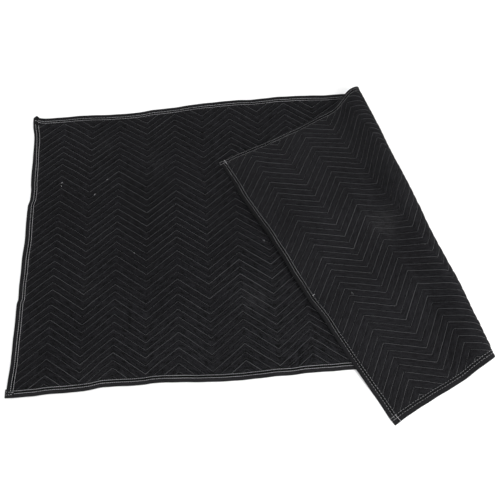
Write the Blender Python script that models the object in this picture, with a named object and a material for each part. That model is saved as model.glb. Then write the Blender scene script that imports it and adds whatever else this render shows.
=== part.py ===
"""Quilted moving pad of the half size, laid flat with its right part folded over to the left.

Metres, +Z up. A point of the cloth has the place it had when the cloth lay flat: x along the length from the
left edge, y across the width from the near edge, and h above the middle of its thickness, positive on the face
that looks up at the left. place() folds such a point into the room.
"""

import math

import bmesh
import bpy
from mathutils import Vector

# Finished size, over the tape
LENGTH = 1.829
WIDTH = 1.016

# The origin, from the near left corner of the flat cloth: the middle of the folded pad's box
ORIGIN_X = 0.7061
ORIGIN_Y = 0.4299

# Heights above the middle of the cloth
HALF_THICK = 0.0018
CROWN_RISE = 0.0024
TAPE_INSIDE = 0.0009
HEM_HALF = 0.0005

# Distances in from the finished edge
TAPE_WALL = 0.0010
PANEL_EDGE = 0.0013
TAPE_WIDTH = 0.0220
HEM_END = 0.0225
HEM_STEP = 0.0240
FULL_CROWN = 0.0300
TAPE_ROUND = 0.0006
GAP = 0.0003

# Zigzag quilting: its period along the length, its height, and the distance between two lines
PERIOD = 0.2009
ZIGZAG_HEIGHT = 0.0766
LINE_GAP = 0.0251
FIRST_PEAK = 0.1075
FIRST_LINE_Y = 0.9854

# The crease that the flat cloth is mirrored on, by its x at the far and at the near edge
CREASE_FAR_X = 1.2142
CREASE_NEAR_X = 1.4495
OUTER_FACE = 0.003  # from the middle of the cloth to the face that keeps its length in the bend
LAYERS_APART = 0.0077  # between the middles of the two layers
SETTLE_RADIUS = 0.060
LIFT = 0.058  # the cloth lies flat up to this far before the crease
CROWN_FADE = 0.030

# Distances past the crease where the bend is cut into flat facets
FACET_STEP = 0.0145
FACETS = 9
SLOPE_FACETS = (0.092, 0.110, 0.128, 0.148)

# The flap comes down to the floor between these two y, past the near edge of the lower layer
DESCENT_START = -0.004
DESCENT_END = -0.084
DESCENT_FROM = 0.148

# Bend sections: distance from the far edge, radius, and how steeply the cloth slopes down after the bend
BEND_SECTIONS = (
    # at, radius, slope in degrees
    (0.00, 0.033, 44),
    (0.12, 0.030, 42),
    (0.40, 0.031, 42),
    (0.62, 0.031, 40),
    (0.80, 0.025, 36),
    (0.88, 0.029, 38),
    (1.04, 0.026, 34),
)

# Unevenness of the long edges: x, and how far the far and the near edge lie off their straight lines in y
LONG_EDGES = (
    # x, far, near
    (0.000, 0.004, 0.002),
    (0.070, -0.002, 0.001),
    (0.190, -0.004, 0.003),
    (0.300, -0.010, 0.012),
    (0.450, -0.002, 0.011),
    (0.600, 0.004, -0.001),
    (0.740, 0.008, 0.000),
    (0.920, 0.002, 0.002),
    (1.110, -0.013, 0.000),
    (1.640, -0.010, 0.002),
    (1.829, 0.006, 0.000),
)

# Unevenness of the short edges: y, and how far the left and the free edge lie off their straight lines in x
SHORT_EDGES = (
    # y, left, free
    (0.000, -0.012, -0.006),
    (0.050, -0.007, -0.004),
    (0.290, -0.006, -0.001),
    (0.310, 0.001, 0.000),
    (0.440, -0.006, 0.004),
    (0.655, -0.004, -0.006),
    (0.690, 0.003, -0.007),
    (0.780, 0.000, -0.006),
    (0.930, -0.005, -0.005),
    (1.016, -0.011, -0.003),
)
EDGE_FADE = 0.160

SNAP = 0.0001

crease_top = Vector((CREASE_FAR_X, WIDTH))
crease_way = (Vector((CREASE_NEAR_X, 0)) - crease_top).normalized()
fold_way = Vector((-crease_way.y, crease_way.x))


def read_table(rows, column, at):
    """The value of a table's column at a place between its rows."""
    if at <= rows[0][0]:
        return rows[0][column]
    for low, high in zip(rows, rows[1:]):
        if at <= high[0]:
            share = (at - low[0]) / (high[0] - low[0])
            return low[column] + share * (high[column] - low[column])
    return rows[-1][column]


def clamp(value, low=0.0, high=1.0):
    return min(max(value, low), high)


def edge_pull(distance):
    """How much a point moves with an edge at this distance: wholly in the hem, and less further in."""
    t = clamp((distance - HEM_STEP) / EDGE_FADE)
    return 1 - t * t * (3 - 2 * t)


def shifted(x, y):
    """A flat point moved in the plane by the unevenness of the four edges."""
    along_x = read_table(SHORT_EDGES, 1, y) * edge_pull(x)
    along_x += read_table(SHORT_EDGES, 2, y) * edge_pull(LENGTH - x)
    along_y = read_table(LONG_EDGES, 1, x) * edge_pull(WIDTH - y)
    along_y += read_table(LONG_EDGES, 2, x) * edge_pull(y)
    return Vector((x + along_x, y + along_y))


def bend(past, at):
    """The bend's section: how far out and how high a point lies, and the heading of the cloth there.

    past is the flat distance past the crease, at the distance from the far edge along the crease.
    """
    radius = read_table(BEND_SECTIONS, 1, at)
    slope = math.radians(read_table(BEND_SECTIONS, 2, at))
    both = radius + SETTLE_RADIUS
    fall = 2 * radius - LAYERS_APART
    run = (fall - both * (1 - math.cos(slope))) / math.sin(slope)
    taken = (radius + OUTER_FACE) * math.pi + OUTER_FACE * slope
    before = (taken + both * (slope - math.sin(slope)) + run * (1 - math.cos(slope))) / 2
    left = past + before
    if left <= 0:
        return past, 0.0, 0.0
    turn = clamp(left / (radius + OUTER_FACE), 0, math.pi + slope)
    left -= turn * (radius + OUTER_FACE)
    out = radius * math.sin(turn) - before
    up = radius * (1 - math.cos(turn))
    down_slope = clamp(left, 0, run)
    left -= down_slope
    out -= down_slope * math.cos(slope)
    up -= down_slope * math.sin(slope)
    turn_back = clamp(left / SETTLE_RADIUS, 0, slope)
    left -= turn_back * SETTLE_RADIUS
    out -= SETTLE_RADIUS * (math.sin(slope) - math.sin(slope - turn_back))
    up -= SETTLE_RADIUS * (math.cos(slope - turn_back) - math.cos(slope))
    return out - left, up, turn - turn_back


def descent(folded_y, up, at, heading):
    """How far a point of the flap comes down towards the floor past the lower layer's near edge."""
    if heading < math.pi / 2:
        return 0.0
    top = 2 * read_table(BEND_SECTIONS, 1, at)
    off_top = clamp((top - up) / (top - LAYERS_APART)) if heading >= math.pi else 0.0
    past_edge = clamp((DESCENT_START - folded_y) / (DESCENT_START - DESCENT_END))
    return LAYERS_APART * past_edge * off_top


def place(x, y, h):
    """Where a point of the flat cloth lies in the folded pad."""
    flat = shifted(x, y) - crease_top
    at = flat.dot(crease_way)
    out, up, heading = bend(flat.dot(fold_way), at)
    middle = crease_top + out * fold_way + at * crease_way
    up -= descent(middle.y, up, at, heading)
    middle -= h * math.sin(heading) * fold_way
    up += HALF_THICK + h * math.cos(heading)
    return Vector((middle.x - ORIGIN_X, middle.y - ORIGIN_Y, up))


def past_crease(x, y):
    return (Vector((x, y)) - crease_top).dot(fold_way)


def edge_distance(x, y):
    return min(x, y, LENGTH - x, WIDTH - y)


def zigzag_dip(x):
    """How far a stitch line lies below its peaks."""
    share = ((x - FIRST_PEAK) / PERIOD) % 1.0
    return ZIGZAG_HEIGHT * (1 - abs(2 * share - 1))


def crown(x, y):
    """0 on a stitch line, 1 halfway between two, and fading to 0 at the hem."""
    share = ((FIRST_LINE_Y - y - zigzag_dip(x)) / LINE_GAP) % 1.0
    ridge = 1 - abs(2 * share - 1)
    return ridge * clamp((edge_distance(x, y) - HEM_STEP) / (FULL_CROWN - HEM_STEP))


def surface(x, y, quilted_past):
    """Half the cloth's thickness at a flat point; quilted_past is the distance into the quilted side, or less."""
    if edge_distance(x, y) < (HEM_END + HEM_STEP) / 2:
        return HEM_HALF
    return HALF_THICK + CROWN_RISE * crown(x, y) * clamp(quilted_past / CROWN_FADE)


def upright(x):
    """The flat line at a constant x, as a unit normal and its distance from the origin."""
    return 1.0, 0.0, x


def level(y):
    return 0.0, 1.0, y


def facet_lines():
    """Lines along the crease, at the edges of the bend's facets."""
    base = crease_top.dot(fold_way)
    steps = [FACET_STEP * k - LIFT for k in range(FACETS)]
    return [(fold_way.x, fold_way.y, base + past) for past in (*steps, *SLOPE_FACETS)]


def descent_lines():
    """Flat lines that lie at the start and the end of the flap's descent once the cloth is folded."""
    across = -2 * fold_way.x * fold_way.y
    up = 1 - 2 * fold_way.y ** 2
    moved = 2 * crease_top.dot(fold_way) * fold_way.y
    return [(across, up, folded_y - moved) for folded_y in (DESCENT_START, DESCENT_END)]


def middle_of(face):
    return face.calc_center_median().xy


def cut(bm, faces, line):
    """Cuts the flat faces along a line, and returns the pieces."""
    normal = Vector((line[0], line[1], 0))
    parts = dict.fromkeys(faces)
    for face in faces:
        parts.update(dict.fromkeys(face.edges))
        parts.update(dict.fromkeys(face.verts))
    done = bmesh.ops.bisect_plane(
        bm, geom=list(parts), dist=SNAP, plane_co=normal * line[2], plane_no=normal
    )
    return [part for part in done["geom"] if isinstance(part, bmesh.types.BMFace)]


def cut_where(bm, line, wanted):
    faces = [face for face in bm.faces if wanted(*middle_of(face))]
    if faces:
        cut(bm, faces, line)


def quilt(bm, wanted):
    """Cuts the wanted faces along the stitch lines and along the crowns between them."""
    half = PERIOD / 2
    columns = [FIRST_PEAK + half * k for k in range(-2, math.ceil(2 * LENGTH / PERIOD) + 1)]
    for x in columns:
        cut_where(bm, upright(x), wanted)
    for left, right in zip(columns, columns[1:]):
        faces = [
            face
            for face in bm.faces
            if left < middle_of(face).x < right and wanted(*middle_of(face))
        ]
        if not faces:
            continue
        low, high = zigzag_dip(left + SNAP), zigzag_dip(right - SNAP)
        normal = Vector((high - low, right - left)).normalized()
        first = math.ceil(2 * (FIRST_LINE_Y - WIDTH - ZIGZAG_HEIGHT) / LINE_GAP)
        last = math.floor(2 * FIRST_LINE_Y / LINE_GAP)
        for half_line in range(first, last + 1):
            on_line = Vector((left, FIRST_LINE_Y - half_line * LINE_GAP / 2 - low))
            faces = cut(bm, faces, (normal.x, normal.y, normal.dot(on_line)))


def flat_side(quilted_past):
    """One side of the panel, flat, cut at its hem, facets and uneven places, and quilted where it shows."""
    bm = bmesh.new()
    left, right, near, far = PANEL_EDGE, LENGTH - PANEL_EDGE, PANEL_EDGE, WIDTH - PANEL_EDGE
    corners = ((left, near), (right, near), (right, far), (left, far))
    bm.faces.new([bm.verts.new((x, y, 0)) for x, y in corners])
    for inset in (HEM_END, HEM_STEP):
        for line in (upright(inset), upright(LENGTH - inset), level(inset), level(WIDTH - inset)):
            cut(bm, bm.faces[:], line)
    for line in facet_lines():
        cut(bm, bm.faces[:], line)
    for line in descent_lines():
        cut_where(bm, line, lambda x, y: past_crease(x, y) > DESCENT_FROM and y > HEM_STEP)
    for x, *_ in LONG_EDGES[1:-1]:
        cut_where(bm, upright(x), lambda x, y: min(y, WIDTH - y) < HEM_STEP)
    for y, *_ in SHORT_EDGES[1:-1]:
        cut_where(bm, level(y), lambda x, y: min(x, LENGTH - x) < HEM_STEP)
    quilt(bm, lambda x, y: edge_distance(x, y) > HEM_STEP and quilted_past(x, y) > 0)
    bmesh.ops.triangulate(bm, faces=bm.faces[:])
    return bm


def around(x, y):
    """Distance of a point on the panel's outline from the near left corner, going round by the right."""
    if y < PANEL_EDGE + SNAP:
        return x
    if x > LENGTH - PANEL_EDGE - SNAP:
        return LENGTH + y
    if y > WIDTH - PANEL_EDGE - SNAP:
        return 2 * LENGTH + WIDTH - x
    return 2 * (LENGTH + WIDTH) - y


def finish(name, bm, colour):
    """Makes an object of the mesh, with a material of its own."""
    bmesh.ops.recalc_face_normals(bm, faces=bm.faces[:])
    mesh = bpy.data.meshes.new(name)
    bm.to_mesh(mesh)
    bm.free()
    material = bpy.data.materials.new(name)
    material.use_nodes = True
    shader = material.node_tree.nodes["Principled BSDF"]
    shader.inputs["Base Color"].default_value = (*colour, 1)
    shader.inputs["Roughness"].default_value = 0.95
    shader.inputs["Metallic"].default_value = 0.0
    mesh.materials.append(material)
    made = bpy.data.objects.new(name, mesh)
    bpy.context.scene.collection.objects.link(made)


def make_panel():
    """The quilted panel: its face shows quilting on the lower layer, and its back on the bend and the flap."""
    solid = bmesh.new()
    rims = []
    for side in (1, -1):
        def quilted_past(x, y, side=side):
            return -side * (past_crease(x, y) + LIFT)

        flat = flat_side(quilted_past)
        flat.verts.index_update()
        made = []
        for vert in flat.verts:
            x, y, _ = vert.co
            made.append(solid.verts.new(place(x, y, side * surface(x, y, quilted_past(x, y)))))
        for face in flat.faces:
            loop = [made[vert.index] for vert in face.verts]
            solid.faces.new(loop[::side])
        border = [vert for vert in flat.verts if vert.is_boundary]
        border.sort(key=lambda vert: around(vert.co.x, vert.co.y))
        rims.append([made[vert.index] for vert in border])
        flat.free()
    face_rim, back_rim = rims
    for k, vert in enumerate(face_rim):
        solid.faces.new((face_rim[k - 1], back_rim[k - 1], back_rim[k], vert))
    finish("quilted_panel", solid, (0.013, 0.013, 0.014))


def make_tape(name, lines, point_on):
    """A tape folded over an edge: its profile goes along the lines that cross the edge.

    point_on(line, inset) is the flat point of a line at a distance in from the edge.
    """
    profile = (
        (TAPE_WIDTH, HALF_THICK),
        (TAPE_ROUND, HALF_THICK),
        (0.0, HALF_THICK - TAPE_ROUND),
        (0.0, TAPE_ROUND - HALF_THICK),
        (TAPE_ROUND, -HALF_THICK),
        (TAPE_WIDTH, -HALF_THICK),
        (TAPE_WIDTH, -TAPE_INSIDE),
        (TAPE_WALL, -TAPE_INSIDE),
        (TAPE_WALL, TAPE_INSIDE),
        (TAPE_WIDTH, TAPE_INSIDE),
    )
    bm = bmesh.new()
    rings = [
        [bm.verts.new(place(*point_on(line, inset), h)) for inset, h in profile]
        for line in sorted(lines, key=lambda line: sum(point_on(line, 0.0)))
    ]
    for first, second in zip(rings, rings[1:]):
        for k in range(len(profile)):
            bm.faces.new((first[k - 1], first[k], second[k], second[k - 1]))
    end_faces = ((0, 1, 8, 9), (1, 2, 8), (2, 3, 7, 8), (3, 4, 7), (4, 5, 6, 7))
    for corners in end_faces:
        bm.faces.new([rings[0][k] for k in reversed(corners)])
        bm.faces.new([rings[-1][k] for k in corners])
    finish(name, bm, (0.011, 0.011, 0.012))


def make_long_tape(name, y_of):
    """A tape along a long edge, from end to end; y_of(inset) is the y at a distance in from that edge."""
    def point_on(line, inset):
        y = y_of(inset)
        return (line[2] - line[1] * y) / line[0], y

    make_tape(name, [*(upright(row[0]) for row in LONG_EDGES), *facet_lines()], point_on)


def make_short_tape(name, x_of, more_lines=()):
    """A tape along a short edge, between the two long tapes."""
    def point_on(line, inset):
        x = x_of(inset)
        return x, (line[2] - line[0] * x) / line[1]

    start = TAPE_WIDTH + GAP
    ends = (level(start), level(WIDTH - start))
    inner = [level(row[0]) for row in SHORT_EDGES if start < row[0] < WIDTH - start]
    make_tape(name, [*ends, *inner, *more_lines], point_on)


def main():
    for old in list(bpy.data.objects):
        bpy.data.objects.remove(old)
    make_panel()
    make_long_tape("binding_near", lambda inset: inset)
    make_long_tape("binding_far", lambda inset: WIDTH - inset)
    make_short_tape("binding_left", lambda inset: inset)
    make_short_tape("binding_free_end", lambda inset: LENGTH - inset, descent_lines())


main()
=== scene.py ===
import math

import bmesh
import bpy
import numpy as np
from mathutils import Matrix, Vector


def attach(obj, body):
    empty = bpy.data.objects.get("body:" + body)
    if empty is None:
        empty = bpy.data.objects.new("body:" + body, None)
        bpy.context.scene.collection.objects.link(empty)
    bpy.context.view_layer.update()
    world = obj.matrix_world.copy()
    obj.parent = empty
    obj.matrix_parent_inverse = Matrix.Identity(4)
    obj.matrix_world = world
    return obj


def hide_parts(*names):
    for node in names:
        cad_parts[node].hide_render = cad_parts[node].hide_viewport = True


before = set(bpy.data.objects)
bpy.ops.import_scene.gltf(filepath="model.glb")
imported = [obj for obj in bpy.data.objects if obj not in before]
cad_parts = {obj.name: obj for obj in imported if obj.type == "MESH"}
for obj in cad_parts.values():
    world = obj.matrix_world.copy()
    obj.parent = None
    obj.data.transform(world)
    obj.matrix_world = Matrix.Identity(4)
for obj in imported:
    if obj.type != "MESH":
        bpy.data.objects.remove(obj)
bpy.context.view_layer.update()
scene = bpy.context.scene
print("frame loaded:", sorted(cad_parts))

# The cloth as it was cut and where it is folded, in metres. A flat point has x along the length from the
# left edge, y across the width from the near edge, and h above the middle of the cloth's thickness.
cloth = {
    "length": 1.829,
    "width": 1.016,
    "originX": 0.7061,
    "originY": 0.4299,
    "halfThick": 0.0018,
    "hem": 0.024,
    "creaseFarX": 1.2142,
    "creaseNearX": 1.4495,
    "outerFace": 0.003,
    "layersApart": 0.0077,
    "settleRadius": 0.060,
    "bendStart": 0.058,
    "descentStart": -0.004,
    "descentEnd": -0.084,
    "edgeFade": 0.160,
    "edgeWaver": 0.0009,
    "shortWaverSize": 0.021,
    "longWaverSize": 0.023,
    "ridgesFrom": 0.150,
    "ridgesFade": 0.070,
}

# The roll of the fold: distance from the far edge, radius, slope after it in degrees
bendSections = [
    (0.00, 0.033, 44),
    (0.12, 0.030, 42),
    (0.40, 0.031, 42),
    (0.62, 0.031, 40),
    (0.80, 0.025, 36),
    (0.88, 0.029, 38),
    (1.04, 0.026, 34),
]

# How far the roll bulges past that or stays back from it: distance from the far edge, way out
bendBulges = [
    (0.00, -0.001),
    (0.06, -0.004),
    (0.14, -0.0025),
    (0.20, -0.001),
    (0.28, -0.002),
    (0.36, 0.000),
    (0.44, 0.0026),
    (0.53, 0.0020),
    (0.61, -0.0004),
    (0.71, 0.0013),
    (0.84, 0.0046),
    (0.94, 0.0038),
    (1.04, 0.0012),
]

# How far the cut edges wander off their straight lines: x, far edge, near edge
longEdges = [
    (0.000, 0.0105, -0.0004),
    (0.006, 0.0150, -0.0006),
    (0.012, 0.0190, -0.0008),
    (0.018, 0.0125, -0.0008),
    (0.024, 0.0080, -0.0008),
    (0.045, 0.0042, -0.0010),
    (0.075, 0.0028, -0.0010),
    (0.110, 0.0020, 0.0013),
    (0.190, 0.0004, 0.0012),
    (0.240, -0.0034, 0.0036),
    (0.285, -0.0068, 0.0088),
    (0.350, -0.0080, 0.0070),
    (0.400, -0.0048, 0.0060),
    (0.430, -0.0020, 0.0087),
    (0.490, -0.0004, 0.0065),
    (0.560, 0.0043, 0.0012),
    (0.610, 0.0070, -0.0017),
    (0.680, 0.0085, -0.0038),
    (0.730, 0.0082, -0.0030),
    (0.800, 0.0046, -0.0006),
    (0.850, 0.0052, -0.0009),
    (0.890, 0.0058, 0.0018),
    (0.960, 0.0030, 0.0008),
    (1.080, -0.0067, 0.0010),
    (1.125, -0.0072, 0.0016),
    (1.170, -0.0120, 0.0024),
    (1.500, -0.0110, 0.0034),
    (1.600, -0.0101, 0.0003),
    (1.650, -0.0058, 0.0013),
    (1.690, -0.0024, 0.0020),
    (1.730, 0.0010, 0.0022),
    (1.775, 0.0050, 0.0018),
    (1.829, 0.0068, -0.0016),
]

# The same for the short edges: y, left edge, free edge
shortEdges = [
    (0.000, -0.0107, -0.0080),
    (0.022, -0.0107, -0.0060),
    (0.050, -0.0097, -0.0058),
    (0.105, -0.0073, -0.0050),
    (0.145, -0.0071, -0.0035),
    (0.175, -0.0077, -0.0024),
    (0.235, -0.0066, -0.0018),
    (0.296, -0.0085, -0.0010),
    (0.308, -0.0050, -0.0012),
    (0.350, -0.0052, -0.0018),
    (0.380, -0.0054, -0.0002),
    (0.440, -0.0070, 0.0032),
    (0.520, -0.0033, 0.0022),
    (0.600, -0.0066, -0.0022),
    (0.650, -0.0052, -0.0024),
    (0.676, 0.0004, -0.0036),
    (0.710, -0.0006, -0.0040),
    (0.740, -0.0036, -0.0024),
    (0.800, -0.0050, -0.0004),
    (0.850, -0.0060, -0.0010),
    (0.890, -0.0068, -0.0030),
    (0.930, -0.0090, -0.0058),
    (0.978, -0.0172, -0.0057),
    (1.016, -0.0195, -0.0042),
]

# Soft ridges of the cloth as it lies: from x, y to x, y, height, half width
floorRidges = [
    (0.185, 0.06, 0.165, 0.96, 0.0016, 0.026),
    (0.395, 0.02, 0.380, 0.90, 0.0013, 0.024),
    (0.655, 0.10, 0.640, 0.99, 0.0015, 0.028),
    (0.860, 0.04, 0.905, 0.60, 0.0010, 0.030),
    (0.040, 0.300, 0.560, 0.285, 0.0014, 0.024),
    (0.030, 0.680, 0.700, 0.665, 0.0012, 0.026),
    (0.560, 0.440, 1.120, 0.420, 0.0012, 0.028),
]

# Soft ridges of the flap, on top of those below it, by flat x and y
flapRidges = [
    (1.826, 0.22, 1.826, 0.92, 0.0092, 0.040),
    (1.640, 0.86, 1.560, 0.56, 0.0024, 0.032),
    (1.600, 0.48, 1.700, 0.22, 0.0020, 0.034),
    (1.740, 0.70, 1.620, 0.62, 0.0016, 0.024),
    (1.780, 0.44, 1.640, 0.36, 0.0016, 0.026),
]

# A ridge or dent sways a little, as none is quite straight, and fades towards its ends
ridge = {
    "sway": 0.010,
    "swayLength": 0.11,
    "longestFade": 0.12,
    "fadeShare": 0.4,
}

creaseTop = np.array([cloth["creaseFarX"], cloth["width"]])
creaseWay = np.array([cloth["creaseNearX"], 0.0]) - creaseTop
creaseWay /= np.linalg.norm(creaseWay)
foldWay = np.array([-creaseWay[1], creaseWay[0]])


def smooth(t):
    t = np.clip(t, 0, 1)
    return t * t * (3 - 2 * t)


# Rises softly from 0 at the start to 1 a given way further on
def ramp(at, start, over):
    return smooth((at - start) / over)


# A smooth line, without overshoot, through one column of a list of places
def along(rows, column, at):
    grid = np.array(rows, float)
    places, values = grid[:, 0], grid[:, column]
    steps = np.diff(values) / np.diff(places)
    slopes = np.zeros(len(values))
    both = steps[1:] * steps[:-1]
    mean = steps[1:] + steps[:-1]
    slopes[1:-1] = np.where(both > 0, 2 * both / np.where(both > 0, mean, 1), 0)
    at = np.clip(at, places[0], places[-1])
    k = np.clip(np.searchsorted(places, at) - 1, 0, len(places) - 2)
    wide = places[k + 1] - places[k]
    t = (at - places[k]) / wide
    start = values[k] * (1 + 2 * t) * (1 - t) ** 2 + slopes[k] * wide * t * (1 - t) ** 2
    end = values[k + 1] * t * t * (3 - 2 * t) - slopes[k + 1] * wide * t * t * (1 - t)
    return start + end


# Slow unevenness between about -1 and 1, the same on every run
def uneven(x, y, size, turn):
    a = np.sin(x / size + 1.7 * turn) * np.sin(y / size * 0.83 + 2.3 + turn)
    b = np.sin((0.62 * x + 0.78 * y) / size * 1.63 + 0.9 + turn)
    c = np.sin((0.91 * x - 0.41 * y) / size * 2.37 + 4.1 - turn)
    return (a + b + c) / 3


def ridgeLift(rows, x, y):
    total = np.zeros_like(x)
    for x1, y1, x2, y2, height, half in rows:
        way = np.array([x2 - x1, y2 - y1])
        span = np.linalg.norm(way)
        way = way / span
        on = (x - x1) * way[0] + (y - y1) * way[1]
        off = -(x - x1) * way[1] + (y - y1) * way[0]
        off = off - ridge["sway"] * min(1, 2 * span) * np.sin(on / ridge["swayLength"] + x1 * 9)
        fade = min(ridge["longestFade"], ridge["fadeShare"] * span)
        ends = smooth(on / fade) * smooth((span - on) / fade)
        total += height * ends * np.exp(-((off / half) ** 2))
    return total


def pastCrease(x, y):
    return (x - creaseTop[0]) * foldWay[0] + (y - creaseTop[1]) * foldWay[1]


# Where flat points lie in the folded pad, and which way the upper face looks there
def foldCloth(x, y, h):
    def pull(distance):
        return 1 - ramp(distance, cloth["hem"], cloth["edgeFade"])

    fromFree, fromFar = cloth["length"] - x, cloth["width"] - y
    shiftX = along(shortEdges, 1, y) * pull(x) + along(shortEdges, 2, y) * pull(fromFree)
    shiftY = along(longEdges, 1, x) * pull(fromFar) + along(longEdges, 2, x) * pull(y)
    waverX = cloth["edgeWaver"] * uneven(x * 0.2, y, cloth["shortWaverSize"], 1.0)
    waverY = cloth["edgeWaver"] * uneven(x, y * 0.2, cloth["longWaverSize"], 2.0)
    flatX = x + shiftX + waverX * pull(np.minimum(x, fromFree) + cloth["hem"])
    flatY = y + shiftY + waverY * pull(np.minimum(y, fromFar) + cloth["hem"])

    past = pastCrease(flatX, flatY)
    at = (flatX - creaseTop[0]) * creaseWay[0] + (flatY - creaseTop[1]) * creaseWay[1]
    radius = along(bendSections, 1, at)
    slope = np.radians(along(bendSections, 2, at))
    outer = radius + cloth["outerFace"]
    both = radius + cloth["settleRadius"]
    fall = 2 * radius - cloth["layersApart"]
    run = (fall - both * (1 - np.cos(slope))) / np.sin(slope)
    taken = outer * math.pi + cloth["outerFace"] * slope
    before = (taken + both * (slope - np.sin(slope)) + run * (1 - np.cos(slope))) / 2
    gone = past + before
    turn = np.clip(gone / outer, 0, math.pi + slope)
    out = (radius + along(bendBulges, 1, at)) * np.sin(np.minimum(turn, math.pi)) - before
    out = out + radius * (np.sin(turn) - np.sin(np.minimum(turn, math.pi)))
    up = radius * (1 - np.cos(turn))
    left = gone - outer * turn
    sliding = np.clip(left, 0, run)
    left = left - sliding
    out = out - sliding * np.cos(slope)
    up = up - sliding * np.sin(slope)
    back = np.clip(left / cloth["settleRadius"], 0, slope)
    left = left - back * cloth["settleRadius"]
    out = out - cloth["settleRadius"] * (np.sin(slope) - np.sin(slope - back))
    up = up - cloth["settleRadius"] * (np.cos(slope - back) - np.cos(slope))
    heading = turn - back
    out = np.where(gone <= 0, past, out - np.maximum(left, 0))

    roomX = creaseTop[0] + out * foldWay[0] + at * creaseWay[0]
    roomY = creaseTop[1] + out * foldWay[1] + at * creaseWay[1]
    offTop = np.where(heading >= math.pi, np.clip((2 * radius - up) / fall, 0, 1), 0)
    drop = smooth((cloth["descentStart"] - roomY) / (cloth["descentStart"] - cloth["descentEnd"]))
    up = up - cloth["layersApart"] * drop * offTop
    lying = ramp(np.abs(past), cloth["ridgesFrom"], cloth["ridgesFade"])
    up = up + lying * ridgeLift(floorRidges, roomX, roomY)
    up = up + lying * np.where(past > 0, ridgeLift(flapRidges, x, y), 0)

    ups = np.stack([-np.sin(heading) * foldWay[0], -np.sin(heading) * foldWay[1], np.cos(heading)], -1)
    middle = np.stack([roomX - cloth["originX"], roomY - cloth["originY"], cloth["halfThick"] + up], -1)
    return middle + h[..., None] * ups, ups


# Looks shared by the materials

def feed(tree, socket, value):
    if isinstance(value, bpy.types.NodeSocket):
        tree.links.new(value, socket)
    else:
        socket.default_value = value


# A node with its settings; each of its inputs, by number or label, gets a value or another node's output
def nodeIn(tree, kind, place, inputs=None, **settings):
    node = tree.nodes.new(kind)
    node.location = place
    for key, value in settings.items():
        setattr(node, key, value)
    for key, value in (inputs or {}).items():
        feed(tree, node.inputs[key], value)
    return node


# A shader group that takes a Vector and some numbers, and gives numbers
def newGroup(name, numbers, results):
    group = bpy.data.node_groups.new(name, "ShaderNodeTree")
    group.interface.new_socket("Vector", in_out="INPUT", socket_type="NodeSocketVector")
    for label, value in numbers.items():
        made = group.interface.new_socket(label, in_out="INPUT", socket_type="NodeSocketFloat")
        made.default_value = value
    for label in results:
        group.interface.new_socket(label, in_out="OUTPUT", socket_type="NodeSocketFloat")
    return group, nodeIn(group, "NodeGroupInput", (-900, 0)).outputs


def giveOut(group, results, place=(900, 0)):
    nodeIn(group, "NodeGroupOutput", place, results)
    return group


def mathNode(tree, operation, place, *values):
    return nodeIn(tree, "ShaderNodeMath", place, dict(enumerate(values)), operation=operation).outputs[0]


def vectorNode(tree, operation, place, inputs):
    return nodeIn(tree, "ShaderNodeVectorMath", place, inputs, operation=operation).outputs[0]


def noiseNode(tree, place, **inputs):
    inputs = {label.capitalize(): value for label, value in inputs.items()}
    return nodeIn(tree, "ShaderNodeTexNoise", place, inputs)


# Takes a value from one range to another
def mapped(tree, place, value, fromMin, fromMax, toMin, toMax, **settings):
    inputs = dict(enumerate((value, fromMin, fromMax, toMin, toMax)))
    return nodeIn(tree, "ShaderNodeMapRange", place, inputs, **settings).outputs[0]


def mixColour(tree, factor, first, second, place, blend="MIX"):
    first, second = ((*value, 1) if isinstance(value, tuple) else value for value in (first, second))
    inputs = {0: factor, 6: first, 7: second}
    return nodeIn(tree, "ShaderNodeMix", place, inputs, data_type="RGBA", blend_type=blend).outputs[2]


# The fine grain of all cloth here: how far the yarns sway, and the sizes of sway, slubs and fuzz
grain = {
    "sway": 0.0022,
    "swayScale": 38.0,
    "slubScale": 160.0,
    "fuzzScale": 1100.0,
}


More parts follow.
